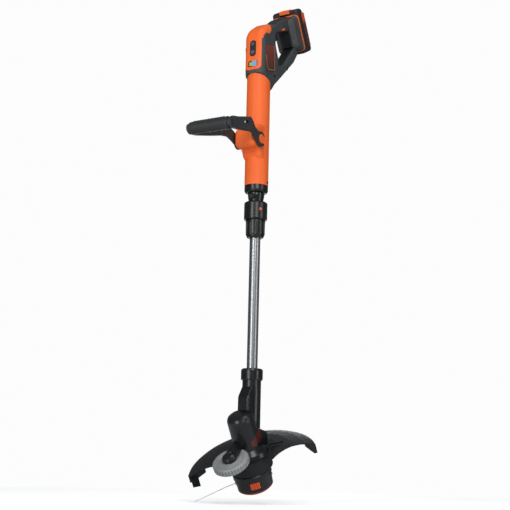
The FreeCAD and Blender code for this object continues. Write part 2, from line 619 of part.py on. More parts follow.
for r in (132.0, 141.0):
    bolt = Part.makeCylinder(2.6, 1.8, V(r, guard_thick + 1.2, -36), AY)
    bolt.rotate(O, AZ, left_tip - 2.2)
    bolts.append(bolt)
nodes["head_screws"] = head(group(bolts))


# ---------------------------------------------------------------- edge wheel and its arm
def on_wheel(shape):
    return head(tilted(shape, wheel_tilt, wheel_at))


half_face = [(axle_r + fit, wheel_half), (14, wheel_half), (17, wheel_half - 2.2), (28, wheel_half - 2.2),
             (33, wheel_half), (38.5, wheel_half), (wheel_r, wheel_half - 3)]
tread = turned(half_face + [(r, -z) for r, z in reversed(half_face)])
for i in range(36):
    notch = box(wheel_r - 1.4, wheel_r + 2, -0.8, 0.8, -wheel_half - 1, wheel_half + 1)
    notch.rotate(O, AZ, 10 * i)
    tread = tread.cut(notch)
nodes["edge_wheel"] = on_wheel(tread)
axle = cyl(axle_r, -wheel_half - 1, wheel_half + 0.6).fuse(cyl(8.5, -wheel_half - 3.2, -wheel_half - 0.5))
nodes["wheel_axle"] = on_wheel(axle)
arm_low = wheel_half + 0.6
arm_line = loop([(16, -16, 14.5), (16, 16, 14.5), (-62, 12, 1), (-62, -12, 1)], lambda p, q: V(p, q, arm_low))
arm_bar = Part.Face(arm_line).extrude(V(0, 0, 7.4))
dome_cap = turned([(0, arm_low), (17, arm_low), (17, arm_low + 5.4), (14, arm_low + 10), (8, arm_low + 12.4),
                   (0, arm_low + 13)])
wheel_arm = on_wheel(arm_bar.fuse(dome_cap)).cut(head(cyl(motor_r, -10, 100)))
for half in ("head_housing_left", "head_housing_right"):
    wheel_arm = wheel_arm.cut(nodes[half])
nodes["wheel_arm"] = max(wheel_arm.Solids, key=lambda piece: piece.Volume)


# ---------------------------------------------------------------- spool head
sx = spool_a
spindle = cyl(4.0, -58, 17.4, sx).fuse(gear(wheel_teeth, 5, 5 + gear_wide, sx, 0, pi / wheel_teeth + pi))
spindle = spindle.fuse(cyl(7, -36, -33, sx))
nodes["spindle"] = head(spindle)
nodes["spindle_bush"] = head(cyl(22.9, -7.2, -4.2, 4).cut(cyl(4 + fit, -20, 0, sx)))
drum = turned([(4, drum_top), (drum_r - 2, drum_top), (drum_r, drum_top - 2), (drum_r, drum_low),
               (drum_r - 3, drum_low), (drum_r - 3, drum_top - 3), (9, drum_top - 3), (9, drum_low - 4),
               (4, drum_low - 4)])
drum.translate(V(sx, 0, 0))
nodes["spool_housing"] = head(drum)
cap_wall = 2.4
cap = turned([(0, cap_low), (cap_low_r - 5, cap_low), (cap_low_r - 0.6, cap_low + 3.5),
              (cap_low_r, cap_low + 6), (cap_top_r, drum_low), (cap_top_r - cap_wall, drum_low),
              (cap_low_r - cap_wall, cap_low + 7),
              (cap_low_r - cap_wall - 4, cap_low + cap_wall), (0, cap_low + cap_wall)])
cap.translate(V(sx, 0, 0))
tab_turns = [32.0, 212.0]
tab_low, tab_high, tab_half = -68.0, -53.0, 11.0
tabs = []
for turn in tab_turns:
    window = box(34, 50, -tab_half - 0.5, tab_half + 0.5, tab_low - 0.5, tab_high + 0.5)
    window.rotate(O, AZ, turn)
    window.translate(V(sx, 0, 0))
    cap = cap.cut(window)
    tab = box(35.5, 50, -tab_half, tab_half, tab_low, tab_high)
    tab = tab.common(ring(43.6, 36.0, tab_low - 1, tab_high + 1))
    for i in range(4):
        tab = tab.cut(box(43.0, 50, -7.5 + 4 * i, -5.5 + 4 * i, tab_low + 2, tab_high - 2))
    tab.rotate(O, AZ, turn)
    tab.translate(V(sx, 0, 0))
    tabs.append(head(tab))
eyelet_turns = [-56.0, 124.0]
eyelets = []
for turn in eyelet_turns:
    way = at(1, turn)
    hole = Part.makeCylinder(3.2, 20, V(sx, 0, line_h) + way * 34, way)
    cap = cap.cut(hole)
    sleeve = Part.makeCylinder(3.2, 5.4, V(sx, 0, line_h) + way * 38.4, way).cut(
        Part.makeCylinder(1.6, 20, V(sx, 0, line_h) + way * 34, way))
    eyelets.append(sleeve)
nodes["line_eyelets"] = head(group(eyelets))
nodes["spool_cap"] = head(cap)
nodes["cap_tab_front"], nodes["cap_tab_rear"] = tabs
reel = turned([(4.4, -80), (33, -80), (33, -78.4), (14, -78.4), (14, -67.6), (33, -67.6), (33, -66),
               (14, -66), (14, -56), (33, -56), (33, -54.6), (4.4, -54.6)])
reel.translate(V(sx, 0, 0))
reel = reel.cut(cyl(9.4, -90, -58, sx))
nodes["spool"] = head(reel)
nodes["line_winding"] = head(ring(29, 14, -78.4, -67.6, sx).fuse(ring(29, 14, -66, -56, sx)))
nodes["spool_spring"] = head(ring(8.6, 7.2, -81.4, -58.2, sx))

# cutting line: straight runs joined by tangent arcs
line_route = [(33.0, -33.4, -62.0), (47.0, -49.4, -62.3), (66.0, -66.0, -63.4), (86.5, -84.6, -65.2),
              (107.5, -107.0, -67.8)]


def run_with_bends(points):
    """Wire through the route: each corner is an arc of 0.45 of its shorter run over the tangent."""
    pts = [V(*p) for p in points]
    edges, start = [], pts[0]
    for before, here, after in zip(pts, pts[1:], pts[2:]):
        back, on = before - here, after - here
        short = min(back.Length, on.Length)
        back.normalize()
        on.normalize()
        half = back.getAngle(on) / 2
        reach = 0.45 * short
        radius = reach * tan(half)
        print("line bend radius", round(radius, 1))
        first, last = here + back * reach, here + on * reach
        middle = back + on
        middle.normalize()
        edges.append(Part.LineSegment(start, first).toShape())
        edges.append(Part.Arc(first, here + middle * (radius / sin(half) - radius), last).toShape())
        start = last
    edges.append(Part.LineSegment(start, pts[-1]).toShape())
    return Part.Wire(edges)


path = run_with_bends(line_route)
first_way = V(*line_route[1]) - V(*line_route[0])
section = Part.Wire(Part.makeCircle(line_d / 2, V(*line_route[0]), first_way))
strand = path.makePipeShell([section], True, False)
print("line volume", strand.Volume, "section times length", pi * line_d ** 2 / 4 * path.Length, path.Length)
nodes["cutting_line"] = head(strand)

os.makedirs("parts", exist_ok=True)
for name, shape in nodes.items():
    shape.exportStep(os.path.join("parts", name + ".step"))
    print(name, len(shape.Solids), "solids", round(shape.Volume / 1000, 1), "cc", shape.isValid())
print(len(nodes), "nodes")
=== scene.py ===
# %% [markdown]
# # A cordless string trimmer, finished in Blender
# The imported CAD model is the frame: every real piece of the trimmer is already in it, at its real size and
# place, and moves on its joints. This lesson gives those pieces their plastics, rubber and metal, and models
# again the pieces whose look a plain CAD solid can't carry. Lengths are metres. The origin is on the shaft's
# axis under the upper housing, +Z runs up to the rear handle and +X points away from the user.

# %% Load the frame
import json
from math import atan2, cos, degrees, hypot, pi, radians, sin

import bmesh
import bpy
from mathutils import Matrix, Vector

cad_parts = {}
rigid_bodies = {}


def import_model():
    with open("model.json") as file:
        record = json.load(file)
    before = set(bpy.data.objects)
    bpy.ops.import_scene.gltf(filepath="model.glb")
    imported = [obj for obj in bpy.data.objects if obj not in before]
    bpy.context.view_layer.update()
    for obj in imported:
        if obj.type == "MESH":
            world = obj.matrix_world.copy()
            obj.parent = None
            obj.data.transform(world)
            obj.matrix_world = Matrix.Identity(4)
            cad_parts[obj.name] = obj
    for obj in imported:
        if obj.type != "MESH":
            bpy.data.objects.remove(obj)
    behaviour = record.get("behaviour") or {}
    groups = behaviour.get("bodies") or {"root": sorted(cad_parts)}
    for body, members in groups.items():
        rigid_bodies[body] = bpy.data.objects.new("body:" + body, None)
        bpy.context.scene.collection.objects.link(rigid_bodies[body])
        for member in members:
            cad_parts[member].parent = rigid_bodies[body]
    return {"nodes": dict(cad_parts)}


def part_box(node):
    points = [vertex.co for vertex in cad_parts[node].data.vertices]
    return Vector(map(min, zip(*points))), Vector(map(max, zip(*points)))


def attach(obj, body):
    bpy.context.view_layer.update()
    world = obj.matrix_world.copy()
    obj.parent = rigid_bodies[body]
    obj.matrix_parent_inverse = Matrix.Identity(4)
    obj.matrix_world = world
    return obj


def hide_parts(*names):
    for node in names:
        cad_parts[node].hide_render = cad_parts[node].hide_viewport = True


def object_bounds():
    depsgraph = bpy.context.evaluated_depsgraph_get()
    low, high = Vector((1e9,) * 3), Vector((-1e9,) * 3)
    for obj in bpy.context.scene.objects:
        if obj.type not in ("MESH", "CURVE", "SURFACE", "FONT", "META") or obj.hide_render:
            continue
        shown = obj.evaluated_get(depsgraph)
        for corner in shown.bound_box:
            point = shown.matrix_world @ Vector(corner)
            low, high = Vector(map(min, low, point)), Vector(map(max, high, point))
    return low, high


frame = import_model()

cad_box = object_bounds()
nodes = frame["nodes"]
MM = 0.001

# %% [markdown]
# ## Camera
# The trimmer hangs upright and is seen from its left front, a little from below, by a camera far enough away
# that its long shaft hardly narrows. The camera could track an empty, but its own matrix, built from a right,
# an up and a back direction, also takes the small roll.

# %% Camera
look_at = Vector((0, 0, -0.148))
camera_turn, camera_rise, camera_roll = radians(30), radians(-11), radians(1.33)
camera_far = 2.5
back = Vector((cos(camera_rise) * cos(camera_turn), cos(camera_rise) * sin(camera_turn), sin(camera_rise)))
level = Vector((-sin(camera_turn), cos(camera_turn), 0))
upward = back.cross(level)
right = cos(camera_roll) * level + sin(camera_roll) * upward
up = cos(camera_roll) * upward - sin(camera_roll) * level
bpy.ops.object.camera_add()
camera = bpy.context.object
camera.name = "camera"
camera_axes = Matrix((right, up, back)).transposed().to_4x4()
camera.matrix_world = Matrix.Translation(look_at + back * camera_far) @ camera_axes
camera.data.lens = 75.1
camera.data.shift_x = 0.0006
camera.data.clip_start = 0.05
bpy.context.scene.camera = camera
print("camera", round(camera_far, 2), "m away, lens", camera.data.lens, "mm")

# %% [markdown]
# ## Cutting line
# The line is one strand of extruded nylon, 1.65 mm thick, that leaves the spool cap by a steel eyelet and is
# cut square at its end. It is stiff and springs out in a lazy curve. A NURBS curve along a few listed
# points, with a round bevel, gives the strand one smooth line and its true thickness. The thickness is the
# points' radius under a bevel of one metre, because Blender's box round a curve counts the points' radius and
# not the bevel.

# %% Cutting line
head_at = Vector((0.004, 0, -0.603))
head_tilt = radians(31)
head_turn = Matrix.Rotation(head_tilt, 4, "Y")
head_frame = Matrix.Translation(head_at) @ head_turn


def in_head(a, b, h):
    """A point of the head's own frame, in mm: forward, left and up the motor's axis."""
    return head_frame @ (Vector((a, b, h)) * MM)


line_route = [(33.0, -33.4, -62.0), (47.0, -49.4, -62.3), (66.0, -66.0, -63.4), (86.5, -84.6, -65.2),
              (107.5, -107.0, -67.8)]
line_thick = 1.65 * MM
curve = bpy.data.curves.new("trimmer_line", "CURVE")
curve.dimensions = "3D"
strand = curve.splines.new("NURBS")
strand.points.add(len(line_route) - 1)
for point, place in zip(strand.points, line_route):
    point.co, point.radius = (*in_head(*place), 1), line_thick / 2
strand.order_u = 3
strand.use_endpoint_u = True
strand.resolution_u = 16
curve.bevel_depth = 1.0
curve.bevel_resolution = 3
curve.use_fill_caps = True
trimmer_line = bpy.data.objects.new("trimmer_line", curve)
bpy.context.scene.collection.objects.link(trimmer_line)
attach(trimmer_line, "spool_head")
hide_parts("cutting_line")
print("line of", len(line_route), "points,", round(line_thick / MM, 2), "mm thick")

# %% [markdown]
# ## Modelling tools
# Each detail piece starts as a primitive at its size, and is shaped in edit mode. An operator acts on all
# that is selected, and the loaded frame is selected, so a small function deselects everything first. A second
# picks faces or edges by a test on their centre, and a third closes a piece: it turns the piece's own axes
# into the trimmer's, so that the object itself stays at the origin. The battery and the foot that holds it
# lean back from the shaft, so their pieces share one leaning frame.

# %% Modelling helpers


def edit_new(name, add, **settings):
    """Adds a primitive with nothing else selected, names it and enters edit mode."""
    if bpy.context.object and bpy.context.object.mode == "EDIT":
        bpy.ops.object.mode_set(mode="OBJECT")
    bpy.ops.object.select_all(action="DESELECT")
    add(**settings)
    piece = bpy.context.object
    piece.name = name
    bpy.ops.object.transform_apply(location=True, rotation=True, scale=True)
    bpy.ops.object.mode_set(mode="EDIT")
    bpy.ops.mesh.select_mode(type="VERT")
    return piece


def pick(piece, test, kind="FACE"):
    """Selects the faces or edges whose centre passes the test, and nothing else."""
    bpy.ops.mesh.select_mode(type=kind)
    bpy.ops.mesh.select_all(action="DESELECT")
    mesh = bmesh.from_edit_mesh(piece.data)
    for element in (mesh.faces if kind == "FACE" else mesh.edges):
        if test(sum((v.co for v in element.verts), Vector()) / len(element.verts)):
            element.select_set(True)
    bmesh.update_edit_mesh(piece.data)


def close_piece(piece, place, bevel_mm, smooth=35):
    """Leaves edit mode, rounds the edges and bakes the piece's place into its mesh."""
    bpy.ops.mesh.select_all(action="SELECT")
    bpy.ops.mesh.remove_doubles(threshold=0.00001)
    bpy.ops.mesh.normals_make_consistent(inside=False)
    bpy.ops.object.mode_set(mode="OBJECT")
    edge = piece.modifiers.new("edge", "BEVEL")
    edge.width, edge.segments, edge.limit_method = bevel_mm * MM, 2, "ANGLE"
    bpy.ops.object.modifier_apply(modifier="edge")
    bpy.ops.object.shade_smooth_by_angle(angle=radians(smooth))
    piece.matrix_world = place
    bpy.ops.object.transform_apply(location=True, rotation=True, scale=True)


foot_at, foot_lean = Vector((-0.149, 0, 0.4565)), radians(30)
foot_frame = Matrix.Translation(foot_at) @ Matrix.Rotation(foot_lean, 4, "Y")
print("helpers ready; the battery's frame leans", round(degrees(foot_lean)), "degrees")

# %% [markdown]
# ## Rubber sleeve of the front bail
# The bail's bar carries a moulded rubber sleeve. It is plain where the palm lies, and has a row of short ribs
# along its upper and lower edges that stop the hand from turning. A tube is extruded ring by ring from one
# circle, and the faces that stand where a rib does are pushed outwards together, which is quicker than adding
# two dozen separate bars and leaves one closed skin.

# %% Bail sleeve
bar_at = Vector((0.210, 0, 0.1085))
sleeve_r, bore_r, sleeve_half = 0.0144, 0.0112, 0.0475
ring_count = 38
ring_step = 2 * sleeve_half / ring_count
rib_angles, rib_half_angle, rib_height = (radians(72), radians(-62)), radians(17), 0.0011
lip_out, lip_share = 0.0008, 0.93
sleeve = edit_new("bail_sleeve", bpy.ops.mesh.primitive_circle_add, vertices=48, radius=sleeve_r,
                  location=(0, -sleeve_half, 0), rotation=(pi / 2, 0, 0))
bpy.ops.mesh.select_all(action="SELECT")
for ring in range(ring_count):
    bpy.ops.mesh.extrude_region_move(TRANSFORM_OT_translate={"value": (0, ring_step, 0)})


def on_rib(at):
    """Every third ring of faces, away from the ends, near one of the two rib angles."""
    row = int((at.y + sleeve_half) / ring_step)
    turn = atan2(at.z, at.x)
    near = any(abs(turn - angle) < rib_half_angle for angle in rib_angles)
    return near and row % 3 == 0 and 2 <= row < ring_count - 2


pick(sleeve, on_rib)
bpy.ops.mesh.extrude_region_shrink_fatten(TRANSFORM_OT_shrink_fatten={"value": rib_height})
bore_share = bore_r / sleeve_r / lip_share
for side in (-1, 1):
    pick(sleeve, lambda at: side * at.y > sleeve_half - 0.0001, "EDGE")
    bpy.ops.mesh.extrude_region_move(TRANSFORM_OT_translate={"value": (0, side * lip_out, 0)})
    bpy.ops.transform.resize(value=(lip_share, 1, lip_share))
    bpy.ops.mesh.extrude_region_move(TRANSFORM_OT_translate={"value": (0, 0, 0)})
    bpy.ops.transform.resize(value=(bore_share, 1, bore_share))
pick(sleeve, lambda at: abs(at.y) > sleeve_half + lip_out / 2 and hypot(at.x, at.z) < bore_r + 0.0002, "EDGE")
bpy.ops.mesh.bridge_edge_loops()
close_piece(sleeve, Matrix.Translation(bar_at), 0.35, 40)
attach(sleeve, "aux_handle")
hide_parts("aux_grip")
print("bail sleeve:", len(sleeve.data.polygons), "faces")

# %% [markdown]
# ## Battery bands
# A raised band of coloured plastic is let into each side of the battery, with a rounded outline and a sunk
# middle. One band starts as a plane. Its corners are rounded, it is pulled out to its thickness, and its face
# is inset and pushed back in. A loop over the two sides pulls each band outwards, so neither is mirrored.

# %% Battery bands
band_y, band_x, band_low, band_high = 0.0356, (-0.0392, -0.0236), -0.040, 0.0465
band_corner, band_proud, band_border, band_sunk = 0.003, 0.0011, 0.0016, 0.0005
for side, name in ((1, "battery_band_left"), (-1, "battery_band_right")):
    band = edit_new(name, bpy.ops.mesh.primitive_plane_add, size=1, rotation=(pi / 2, 0, 0))
    bpy.ops.mesh.select_all(action="SELECT")
    bpy.ops.transform.resize(value=(band_x[1] - band_x[0], 1, band_high - band_low))
    bpy.ops.mesh.bevel(offset=band_corner, segments=4, affect="VERTICES")
    bpy.ops.mesh.extrude_region_move(TRANSFORM_OT_translate={"value": (0, side * band_proud, 0)})
    bpy.ops.mesh.inset(thickness=band_border)
    bpy.ops.transform.translate(value=(0, -side * band_sunk, 0))
    middle = Vector((sum(band_x) / 2, side * band_y, (band_low + band_high) / 2))
    close_piece(band, foot_frame @ Matrix.Translation(middle), 0.15)
    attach(band, "battery")
print("battery bands:", round((band_high - band_low) / MM), "mm long")

# %% [markdown]
# ## Rail-mouth strip
# The orange trim round the handle's foot stops at the mouth where the battery slides in, and a strip on the
# battery's own face closes the gap, so that the ring looks whole when the battery is home. It is a plane that
# is extruded to its thickness, with a grip notch inset in its outer face.

# %% Rail-mouth strip
strip_x, strip_half, strip_z = (-0.0026, 0.0012), 0.0206, (0.0428, 0.0472)
notch_border, notch_deep = 0.0008, 0.0003
strip = edit_new("rail_mouth_strip", bpy.ops.mesh.primitive_plane_add, size=1)
bpy.ops.mesh.select_all(action="SELECT")
bpy.ops.transform.resize(value=(strip_x[1] - strip_x[0], 2 * strip_half, 1))
bpy.ops.mesh.extrude_region_move(TRANSFORM_OT_translate={"value": (0, 0, strip_z[1] - strip_z[0])})
bpy.ops.mesh.inset(thickness=notch_border)
bpy.ops.transform.translate(value=(0, 0, -notch_deep))
close_piece(strip, foot_frame @ Matrix.Translation((sum(strip_x) / 2, 0, strip_z[0])), 0.3)
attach(strip, "battery")
print("rail-mouth strip:", round(2 * strip_half / MM, 1), "mm wide")

# %% [markdown]
# ## Speed scale and button marks
# Behind the speed slider, a green scale shows how far the slider has moved, in three steps. The feed button
# has two round pads, dished where the thumb presses. Both are moulded parts with no lettering, so they are
# made from plain outlines that are extruded and inset.

# %% Speed scale
scale_at = Vector((0.0262, -0.0004, 0.3176))
scale_wide, scale_tall, scale_thick = 0.0236, 0.0102, 0.0008
step_rises, step_border = (0.0003, 0.0006, 0.0009), 0.0005
step_wide = scale_wide / len(step_rises)
scale = edit_new("speed_scale", bpy.ops.mesh.primitive_grid_add, x_subdivisions=1, y_subdivisions=3, size=1,
                 rotation=(0, pi / 2, 0))
bpy.ops.mesh.select_all(action="SELECT")
bpy.ops.transform.resize(value=(1, scale_wide, scale_tall))
bpy.ops.mesh.extrude_region_move(TRANSFORM_OT_translate={"value": (scale_thick, 0, 0)})
for step, rise in enumerate(step_rises):
    low = -scale_wide / 2 + step * step_wide
    pick(scale, lambda at: at.x > scale_thick - 0.0001 and low < at.y < low + step_wide)
    bpy.ops.mesh.inset(thickness=step_border)
    bpy.ops.transform.translate(value=(rise, 0, 0))
close_piece(scale, Matrix.Translation(scale_at), 0.1)
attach(scale, "handle")
print("speed scale:", len(scale.data.polygons), "faces")

# %% Button marks
mark_x, mark_proud, dish_deep, dish_border = 0.0322, 0.0007, 0.0004, 0.35
marks = (("button_mark_high", 0.3660, 0.0042), ("button_mark_low", 0.3450, 0.0050))
for name, mark_z, mark_r in marks:
    mark = edit_new(name, bpy.ops.mesh.primitive_circle_add, vertices=24, radius=mark_r, fill_type="NGON",
                    rotation=(0, pi / 2, 0))
    bpy.ops.mesh.select_all(action="SELECT")
    bpy.ops.mesh.extrude_region_move(TRANSFORM_OT_translate={"value": (mark_proud, 0, 0)})
    bpy.ops.mesh.inset(thickness=mark_r * dish_border)
    bpy.ops.transform.translate(value=(-dish_deep, 0, 0))
    close_piece(mark, Matrix.Translation((mark_x, 0, mark_z)), 0.15)
    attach(mark, "feed_button")
print("button marks at", [round(mark_z / MM) for _, mark_z, _ in marks], "mm")

# %% [markdown]
# ## Label frame
# The side label has a printed frame, a thin pale line just inside its edge. The label's outline, with its
# five corners, starts as a filled circle of five points that are moved into place. One inset cuts off the
# margin outside the line, and a second, as wide as the line, leaves a middle that is deleted too.

# %% Label frame
label_outline = ((15, 311), (15, 366), (-27, 377), (-25, 312), (6, 303))
label_middle = Vector((-3, 0, 340)) * MM
label_face, line_margin, line_wide, ink_thick = 0.02795, 0.0026, 0.0022, 0.0002
for side, name in ((1, "label_frame_left"), (-1, "label_frame_right")):
    frame_line = edit_new(name, bpy.ops.mesh.primitive_circle_add, vertices=len(label_outline), radius=1,
                          fill_type="NGON")
    shape = bmesh.from_edit_mesh(frame_line.data)
    for corner, (x, z) in zip(shape.verts, label_outline):
        corner.co = Vector((x * MM, 0, z * MM)) - label_middle
    bmesh.update_edit_mesh(frame_line.data)
    bpy.ops.mesh.select_mode(type="FACE")
    bpy.ops.mesh.select_all(action="SELECT")
    bpy.ops.mesh.inset(thickness=line_margin)
    bpy.ops.mesh.select_all(action="INVERT")
    bpy.ops.mesh.delete(type="FACE")
    bpy.ops.mesh.select_all(action="SELECT")
    bpy.ops.mesh.inset(thickness=line_wide)
    bpy.ops.mesh.delete(type="FACE")
    bpy.ops.mesh.select_all(action="SELECT")
    bpy.ops.mesh.extrude_region_move(TRANSFORM_OT_translate={"value": (0, side * ink_thick, 0)})
    close_piece(frame_line, Matrix.Translation(label_middle + Vector((0, side * label_face, 0))), 0.04)
    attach(frame_line, "handle")

# %% [markdown]
# ## Spool cap's rim and clamp's pointer
# A thin red ring runs round the bottom edge of the spool cap, and shows which way up the spool goes. A small
# orange pointer on the clamp shows where the clamp's nut locks. The ring is one circle, extruded outwards, up
# and back in and then bridged to itself, so that it has a closed section. The pointer is a circle of three
# points that is extruded and dished.

# %% Cap rim
rim_r, rim_tall, rim_proud = 0.0402, 0.0016, 0.0010
rim_at = Vector((10.4, 0, -79.8)) * MM
rim_out = 1 + rim_proud / rim_r
rim = edit_new("cap_rim", bpy.ops.mesh.primitive_circle_add, vertices=96, radius=rim_r)
bpy.ops.mesh.select_all(action="SELECT")
bpy.ops.mesh.extrude_region_move(TRANSFORM_OT_translate={"value": (0, 0, 0)})
bpy.ops.transform.resize(value=(rim_out, rim_out, 1))
bpy.ops.mesh.extrude_region_move(TRANSFORM_OT_translate={"value": (0, 0, rim_tall)})
bpy.ops.mesh.extrude_region_move(TRANSFORM_OT_translate={"value": (0, 0, 0)})
bpy.ops.transform.resize(value=(1 / rim_out, 1 / rim_out, 1))
pick(rim, lambda at: hypot(at.x, at.y) < rim_r + 0.0001, "EDGE")
bpy.ops.mesh.bridge_edge_loops()
close_piece(rim, head_frame @ Matrix.Translation(rim_at), 0.3)
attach(rim, "spool_head")
print("cap rim", round(2 * rim_r / MM), "mm across")

# %% Clamp pointer
pointer_r, pointer_proud, pointer_border, pointer_sunk = 0.0046, 0.0012, 0.0009, 0.0003
pointer_at, pointer_turn = Vector((0.0268, 0, -0.042)), radians(54)
pointer = edit_new("clamp_pointer", bpy.ops.mesh.primitive_circle_add, vertices=3, radius=pointer_r,
                   fill_type="NGON", rotation=(0, pi / 2, 0))
bpy.ops.mesh.select_all(action="SELECT")
bpy.ops.mesh.extrude_region_move(TRANSFORM_OT_translate={"value": (pointer_proud, 0, 0)})
bpy.ops.mesh.inset(thickness=pointer_border)
bpy.ops.transform.translate(value=(-pointer_sunk, 0, 0))
close_piece(pointer, Matrix.Rotation(pointer_turn, 4, "Z") @ Matrix.Translation(pointer_at), 0.15)
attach(pointer, "swivel")
print("clamp pointer turned", round(degrees(pointer_turn)), "degrees from the front")

# %% [markdown]
# ## Studio
# A pale floor lies under the lowest piece, and soft boxes stand round the trimmer. A tall narrow box on the
# camera's left gives the round tube and the housing their long upright highlight, and a wide one fills the
# front. Spot lamps would burn small white dots into the glossy head instead. The world is near white only to
# the camera. As a light it is dim, because a bright one would wash out the black parts.

# %% Floor and world
floor_gap, floor_r = 0.003, 1.2
floor_z = cad_box[0].z - floor_gap
room_light = 0.16
bpy.ops.object.select_all(action="DESELECT")
bpy.ops.mesh.primitive_circle_add(vertices=96, radius=floor_r, fill_type="NGON", location=(0, 0, floor_z))
studio_floor = bpy.context.object
studio_floor.name = "studio_floor"
world = bpy.data.worlds.new("pale_studio")
bpy.context.scene.world = world
world.use_nodes = True
room = world.node_tree.nodes["Background"]
room.inputs["Color"].default_value = (0.93, 0.95, 0.97, 1)
room.inputs["Strength"].default_value = room_light
paper = world.node_tree.nodes.new("ShaderNodeBackground")
paper.inputs["Color"].default_value = (0.98, 0.98, 0.98, 1)
rays = world.node_tree.nodes.new("ShaderNodeLightPath")
either = world.node_tree.nodes.new("ShaderNodeMixShader")
wires = world.node_tree.links
wires.new(rays.outputs["Is Camera Ray"], either.inputs["Fac"])
wires.new(room.outputs["Background"], either.inputs[1])
wires.new(paper.outputs["Background"], either.inputs[2])
wires.new(either.outputs["Shader"], world.node_tree.nodes["World Output"].inputs["Surface"])
bpy.context.scene.view_settings.view_transform = "Standard"
print("floor at", round(floor_z, 4))

# %% Soft boxes
boxes_face = Vector((0, 0, -0.2))


def soft_box(name, place, size, power):
    """A rectangular area lamp of size (wide, tall) that faces the trimmer's middle."""
    bpy.ops.object.light_add(type="AREA", location=place)
    lamp = bpy.context.object
    lamp.name = name
    lamp.data.shape = "RECTANGLE"
    lamp.data.size, lamp.data.size_y = size
    lamp.data.energy = power
    lamp.rotation_euler = (Vector(place) - boxes_face).to_track_quat("Z", "Y").to_euler()


soft_box("front_box", (2.3, 1.9, 1.3), (1.2, 1.4), 40)
soft_box("tall_box", (2.55, -0.25, -0.1), (0.55, 2.6), 36)
soft_box("rim_box", (0.0, 2.7, -0.1), (0.5, 2.4), 18)
soft_box("top_box", (0.5, 0.4, 2.6), (1.2, 1.2), 14)
soft_box("rear_box", (-2.4, -1.2, 0.3), (0.8, 2.0), 12)

# %% [markdown]
# ## How a material is built
# Every finish is a Principled shader with patterns on Object coordinates, so nothing depends on an unwrap.
# The first two helpers turn a colour's hex code into the linear values that Cycles works in, and add one node
# with its settings and links. The others build on them, up to a whole moulded plastic. A pattern's scale is
# one over its real size in metres.

# %% Material helpers
drift_mm = 60


def linear(code):
    """An sRGB hex colour such as 'f26b35' as linear RGBA."""
    values = [int(code[i:i + 2], 16) / 255 for i in (0, 2, 4)]
    return (*[v / 12.92 if v <= 0.04045 else ((v + 0.055) / 1.055) ** 2.4 for v in values], 1.0)


def put(material, kind, settings=(), **links):
    """Adds a shader node. Settings are (name, value) pairs of inputs or properties. Each link is
    input_name=(node, output), with _ for the spaces in the input's name, or n0, n1 and so on for an input
    that is known only by its number."""
    node = material.node_tree.nodes.new("ShaderNode" + kind)
    for name, value in settings:
        if isinstance(name, int) or name in node.inputs:
            node.inputs[name].default_value = value
        else:
            setattr(node, name, value)
    for name, (source, output) in links.items():
        key = int(name[1:]) if name[0] == "n" and name[1:].isdigit() else name.replace("_", " ")
        material.node_tree.links.new(source.outputs[output], node.inputs[key])
    return node


def finish_named(name, **shader):
    """A new material and its Principled shader, with the shader's plain values set."""
    material = bpy.data.materials.new(name)
    material.use_nodes = True
    surface = material.node_tree.nodes["Principled BSDF"]
    for key, value in shader.items():
        surface.inputs[key.replace("_", " ")].default_value = value
    return material, surface


def tones(material, surface, pattern, output, low, high, dark, light, socket="Base Color"):
    """Runs a pattern through a ramp from dark to light into one of the shader's sockets."""
    ramp = put(material, "ValToRGB", Fac=(pattern, output))
    first, last = ramp.color_ramp.elements
    first.position, last.position = low, high
    first.color, last.color = dark, light
    material.node_tree.links.new(ramp.outputs["Color"], surface.inputs[socket])


def grey(value):
    """A grey for a ramp that drives roughness."""
    return (value, value, value, 1)


def moulded(name, colour, deep, roughness, grain_mm, depth_mm, marks_mm=9.0, wear=0.07, **shader):
    """An injection-moulded plastic: a slow drift of tone, a fine spark-eroded grain and faint handling
    marks in its gloss. The real grain is under half a millimetre, and is drawn coarse enough to show."""
    material, surface = finish_named(name, **shader)
    where = put(material, "TexCoord")
    drift = put(material, "TexNoise", [("Scale", 1 / (drift_mm * MM)), ("Detail", 3.0)],
                Vector=(where, "Object"))
    tones(material, surface, drift, "Fac", 0.3, 0.7, linear(deep), linear(colour))
    marks = put(material, "TexNoise", [("Scale", 1 / (marks_mm * MM)), ("Detail", 3.0)],
                Vector=(where, "Object"))
    tones(material, surface, marks, "Fac", 0.3, 0.75, grey(roughness - wear), grey(roughness + wear),
          "Roughness")
    grain = put(material, "TexNoise", [("Scale", 1 / (grain_mm * MM)), ("Detail", 2.0)],
                Vector=(where, "Object"))
    bump = put(material, "Bump", [("Strength", 0.3), ("Distance", depth_mm * MM)], Height=(grain, "Fac"))
    material.node_tree.links.new(bump.outputs["Normal"], surface.inputs["Normal"])
    return material


# %% [markdown]
# ## Plastics
# The orange shells are ABS from a polished mould: a clean, saturated colour with a broad soft highlight. The
# handle shells and the bail are glass-filled nylon, whose fibres leave it dull and slightly grainy. The head
# is unfilled black nylon with a gloss that shows every soft box, and the guard is polypropylene, softer and
# greyer, which scuffs where it meets stones and kerbs. The small parts are ABS, acetal or an elastomer, each
# in its own colour.

